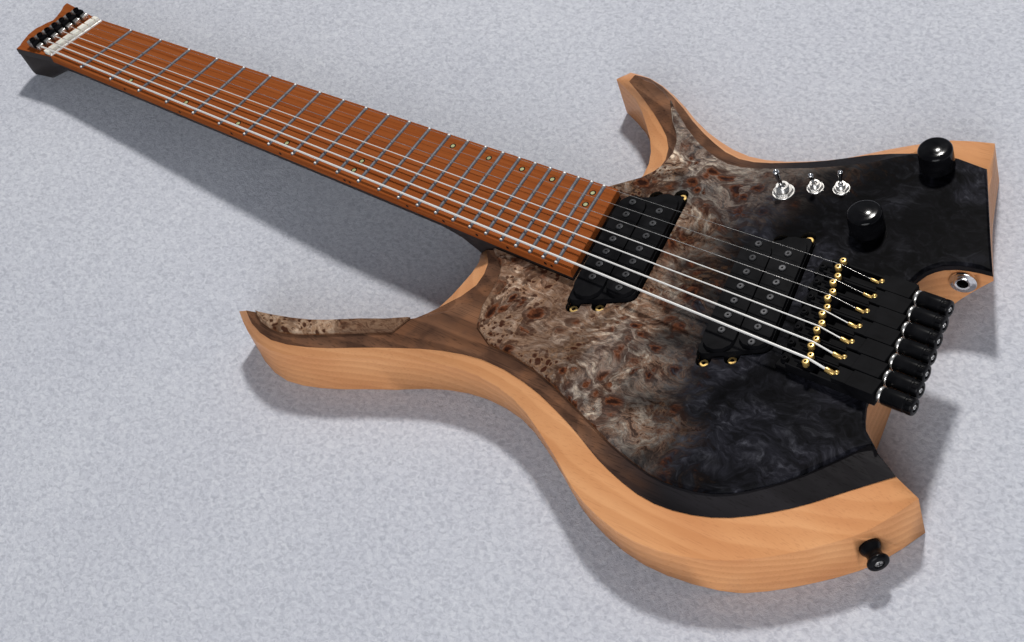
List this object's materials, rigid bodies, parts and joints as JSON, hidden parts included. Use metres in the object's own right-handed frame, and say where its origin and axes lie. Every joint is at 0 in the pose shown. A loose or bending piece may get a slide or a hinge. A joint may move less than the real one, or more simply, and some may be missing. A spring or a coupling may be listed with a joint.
{
  "type": "headless electric guitar",
  "caption": "Headless electric guitar with long horns, fanned frets, single string bridge and tuner units, two slanted pickups, knobs that turn and toggle levers that tip.",
  "frame": {"origin": "on the flat back, on the centre line between the two pickups", "axes": "+X from the nut to the tail, +Y from the bass side to the treble side, +Z out of the fretboard; the guitar lies on its back at z = 0"},
  "size_m": [0.8086, 0.3263, 0.0587],
  "materials": {
    "natural_ash": "clear satin",
    "stained_ash": "dark stain under clear gloss",
    "burl": "stained burl under clear gloss",
    "roasted_maple": "satin",
    "black_lacquer": "black satin lacquer",
    "bone": "smooth",
    "black_metal": "black anodised",
    "steel": "plain",
    "chrome": "polished",
    "black_plastic": "satin black"
  },
  "bodies": {
    "guitar": {"body_core": "natural_ash", "stained_cap": "stained_ash", "burl_top": "burl", "burl_horn": "burl", "cavity_cover": "black_plastic", "neck": "black_lacquer", "fingerboard": "roasted_maple", "nut": "bone", "string_lock_1": "black_metal", "string_lock_2": "black_metal", "string_lock_3": "black_metal", "string_lock_4": "black_metal", "string_lock_5": "black_metal", "string_lock_6": "black_metal", "string_lock_7": "black_metal", "string_1": "steel", "string_2": "steel", "string_3": "steel", "string_4": "steel", "string_5": "steel", "string_6": "steel", "string_7": "steel", "bridge_base_1": "black_metal", "bridge_base_2": "black_metal", "bridge_base_3": "black_metal", "bridge_base_4": "black_metal", "bridge_base_5": "black_metal", "bridge_base_6": "black_metal", "bridge_base_7": "black_metal", "saddle_1": "black_metal", "saddle_2": "black_metal", "saddle_3": "black_metal", "saddle_4": "black_metal", "saddle_5": "black_metal", "saddle_6": "black_metal", "saddle_7": "black_metal", "pickup_neck": "black_plastic", "pickup_bridge": "black_plastic", "volume_pot": "steel", "tone_pot": "steel", "selector_switch": "chrome", "neck_coil_switch": "chrome", "bridge_coil_switch": "chrome", "output_jack": "chrome", "strap_button_tail": "black_metal", "strap_button_horn": "black_metal"},
    "volume": {"volume_knob": "black_plastic"},
    "tone": {"tone_knob": "black_plastic"},
    "selector": {"selector_lever": "chrome"},
    "neck_coil": {"neck_coil_lever": "chrome"},
    "bridge_coil": {"bridge_coil_lever": "chrome"},
    "tuner_1": {"tuner_knob_1": "black_metal"},
    "tuner_2": {"tuner_knob_2": "black_metal"},
    "tuner_3": {"tuner_knob_3": "black_metal"},
    "tuner_4": {"tuner_knob_4": "black_metal"},
    "tuner_5": {"tuner_knob_5": "black_metal"},
    "tuner_6": {"tuner_knob_6": "black_metal"},
    "tuner_7": {"tuner_knob_7": "black_metal"}
  },
  "joints": [
    {"name": "volume_turn", "type": "hinge", "parent": "guitar", "child": "volume", "pos_m": [0.103, 0.128, 0.0426], "axis": [0, 0, 1], "range_deg": [-150, 150]},
    {"name": "tone_turn", "type": "hinge", "parent": "guitar", "child": "tone", "pos_m": [0.0925, 0.0695, 0.0426], "axis": [0, 0, 1], "range_deg": [-150, 150]},
    {"name": "selector_tip", "type": "hinge", "parent": "guitar", "child": "selector", "pos_m": [0.032, 0.076, 0.04538], "axis": [0, 1, 0], "range_deg": [0, 24]},
    {"name": "neck_coil_tip", "type": "hinge", "parent": "guitar", "child": "neck_coil", "pos_m": [0.0475, 0.086, 0.0446], "axis": [-1, 0, 0], "range_deg": [0, 24]},
    {"name": "bridge_coil_tip", "type": "hinge", "parent": "guitar", "child": "bridge_coil", "pos_m": [0.062, 0.091, 0.0446], "axis": [1, 0, 0], "range_deg": [0, 24]},
    {"name": "tuner_1_turn", "type": "hinge", "parent": "guitar", "child": "tuner_1", "pos_m": [0.14515, 0.03235, 0.047], "axis": [1, 0, 0], "continuous": true},
    {"name": "tuner_2_turn", "type": "hinge", "parent": "guitar", "child": "tuner_2", "pos_m": [0.14798, 0.02157, 0.047], "axis": [1, 0, 0], "continuous": true},
    {"name": "tuner_3_turn", "type": "hinge", "parent": "guitar", "child": "tuner_3", "pos_m": [0.1508, 0.01078, 0.047], "axis": [1, 0, 0], "continuous": true},
    {"name": "tuner_4_turn", "type": "hinge", "parent": "guitar", "child": "tuner_4", "pos_m": [0.15363, 0, 0.047], "axis": [1, 0, 0], "continuous": true},
    {"name": "tuner_5_turn", "type": "hinge", "parent": "guitar", "child": "tuner_5", "pos_m": [0.15645, -0.01078, 0.047], "axis": [1, 0, 0], "continuous": true},
    {"name": "tuner_6_turn", "type": "hinge", "parent": "guitar", "child": "tuner_6", "pos_m": [0.15928, -0.02157, 0.047], "axis": [1, 0, 0], "continuous": true},
    {"name": "tuner_7_turn", "type": "hinge", "parent": "guitar", "child": "tuner_7", "pos_m": [0.1621, -0.03235, 0.047], "axis": [1, 0, 0], "continuous": true}
  ]
}
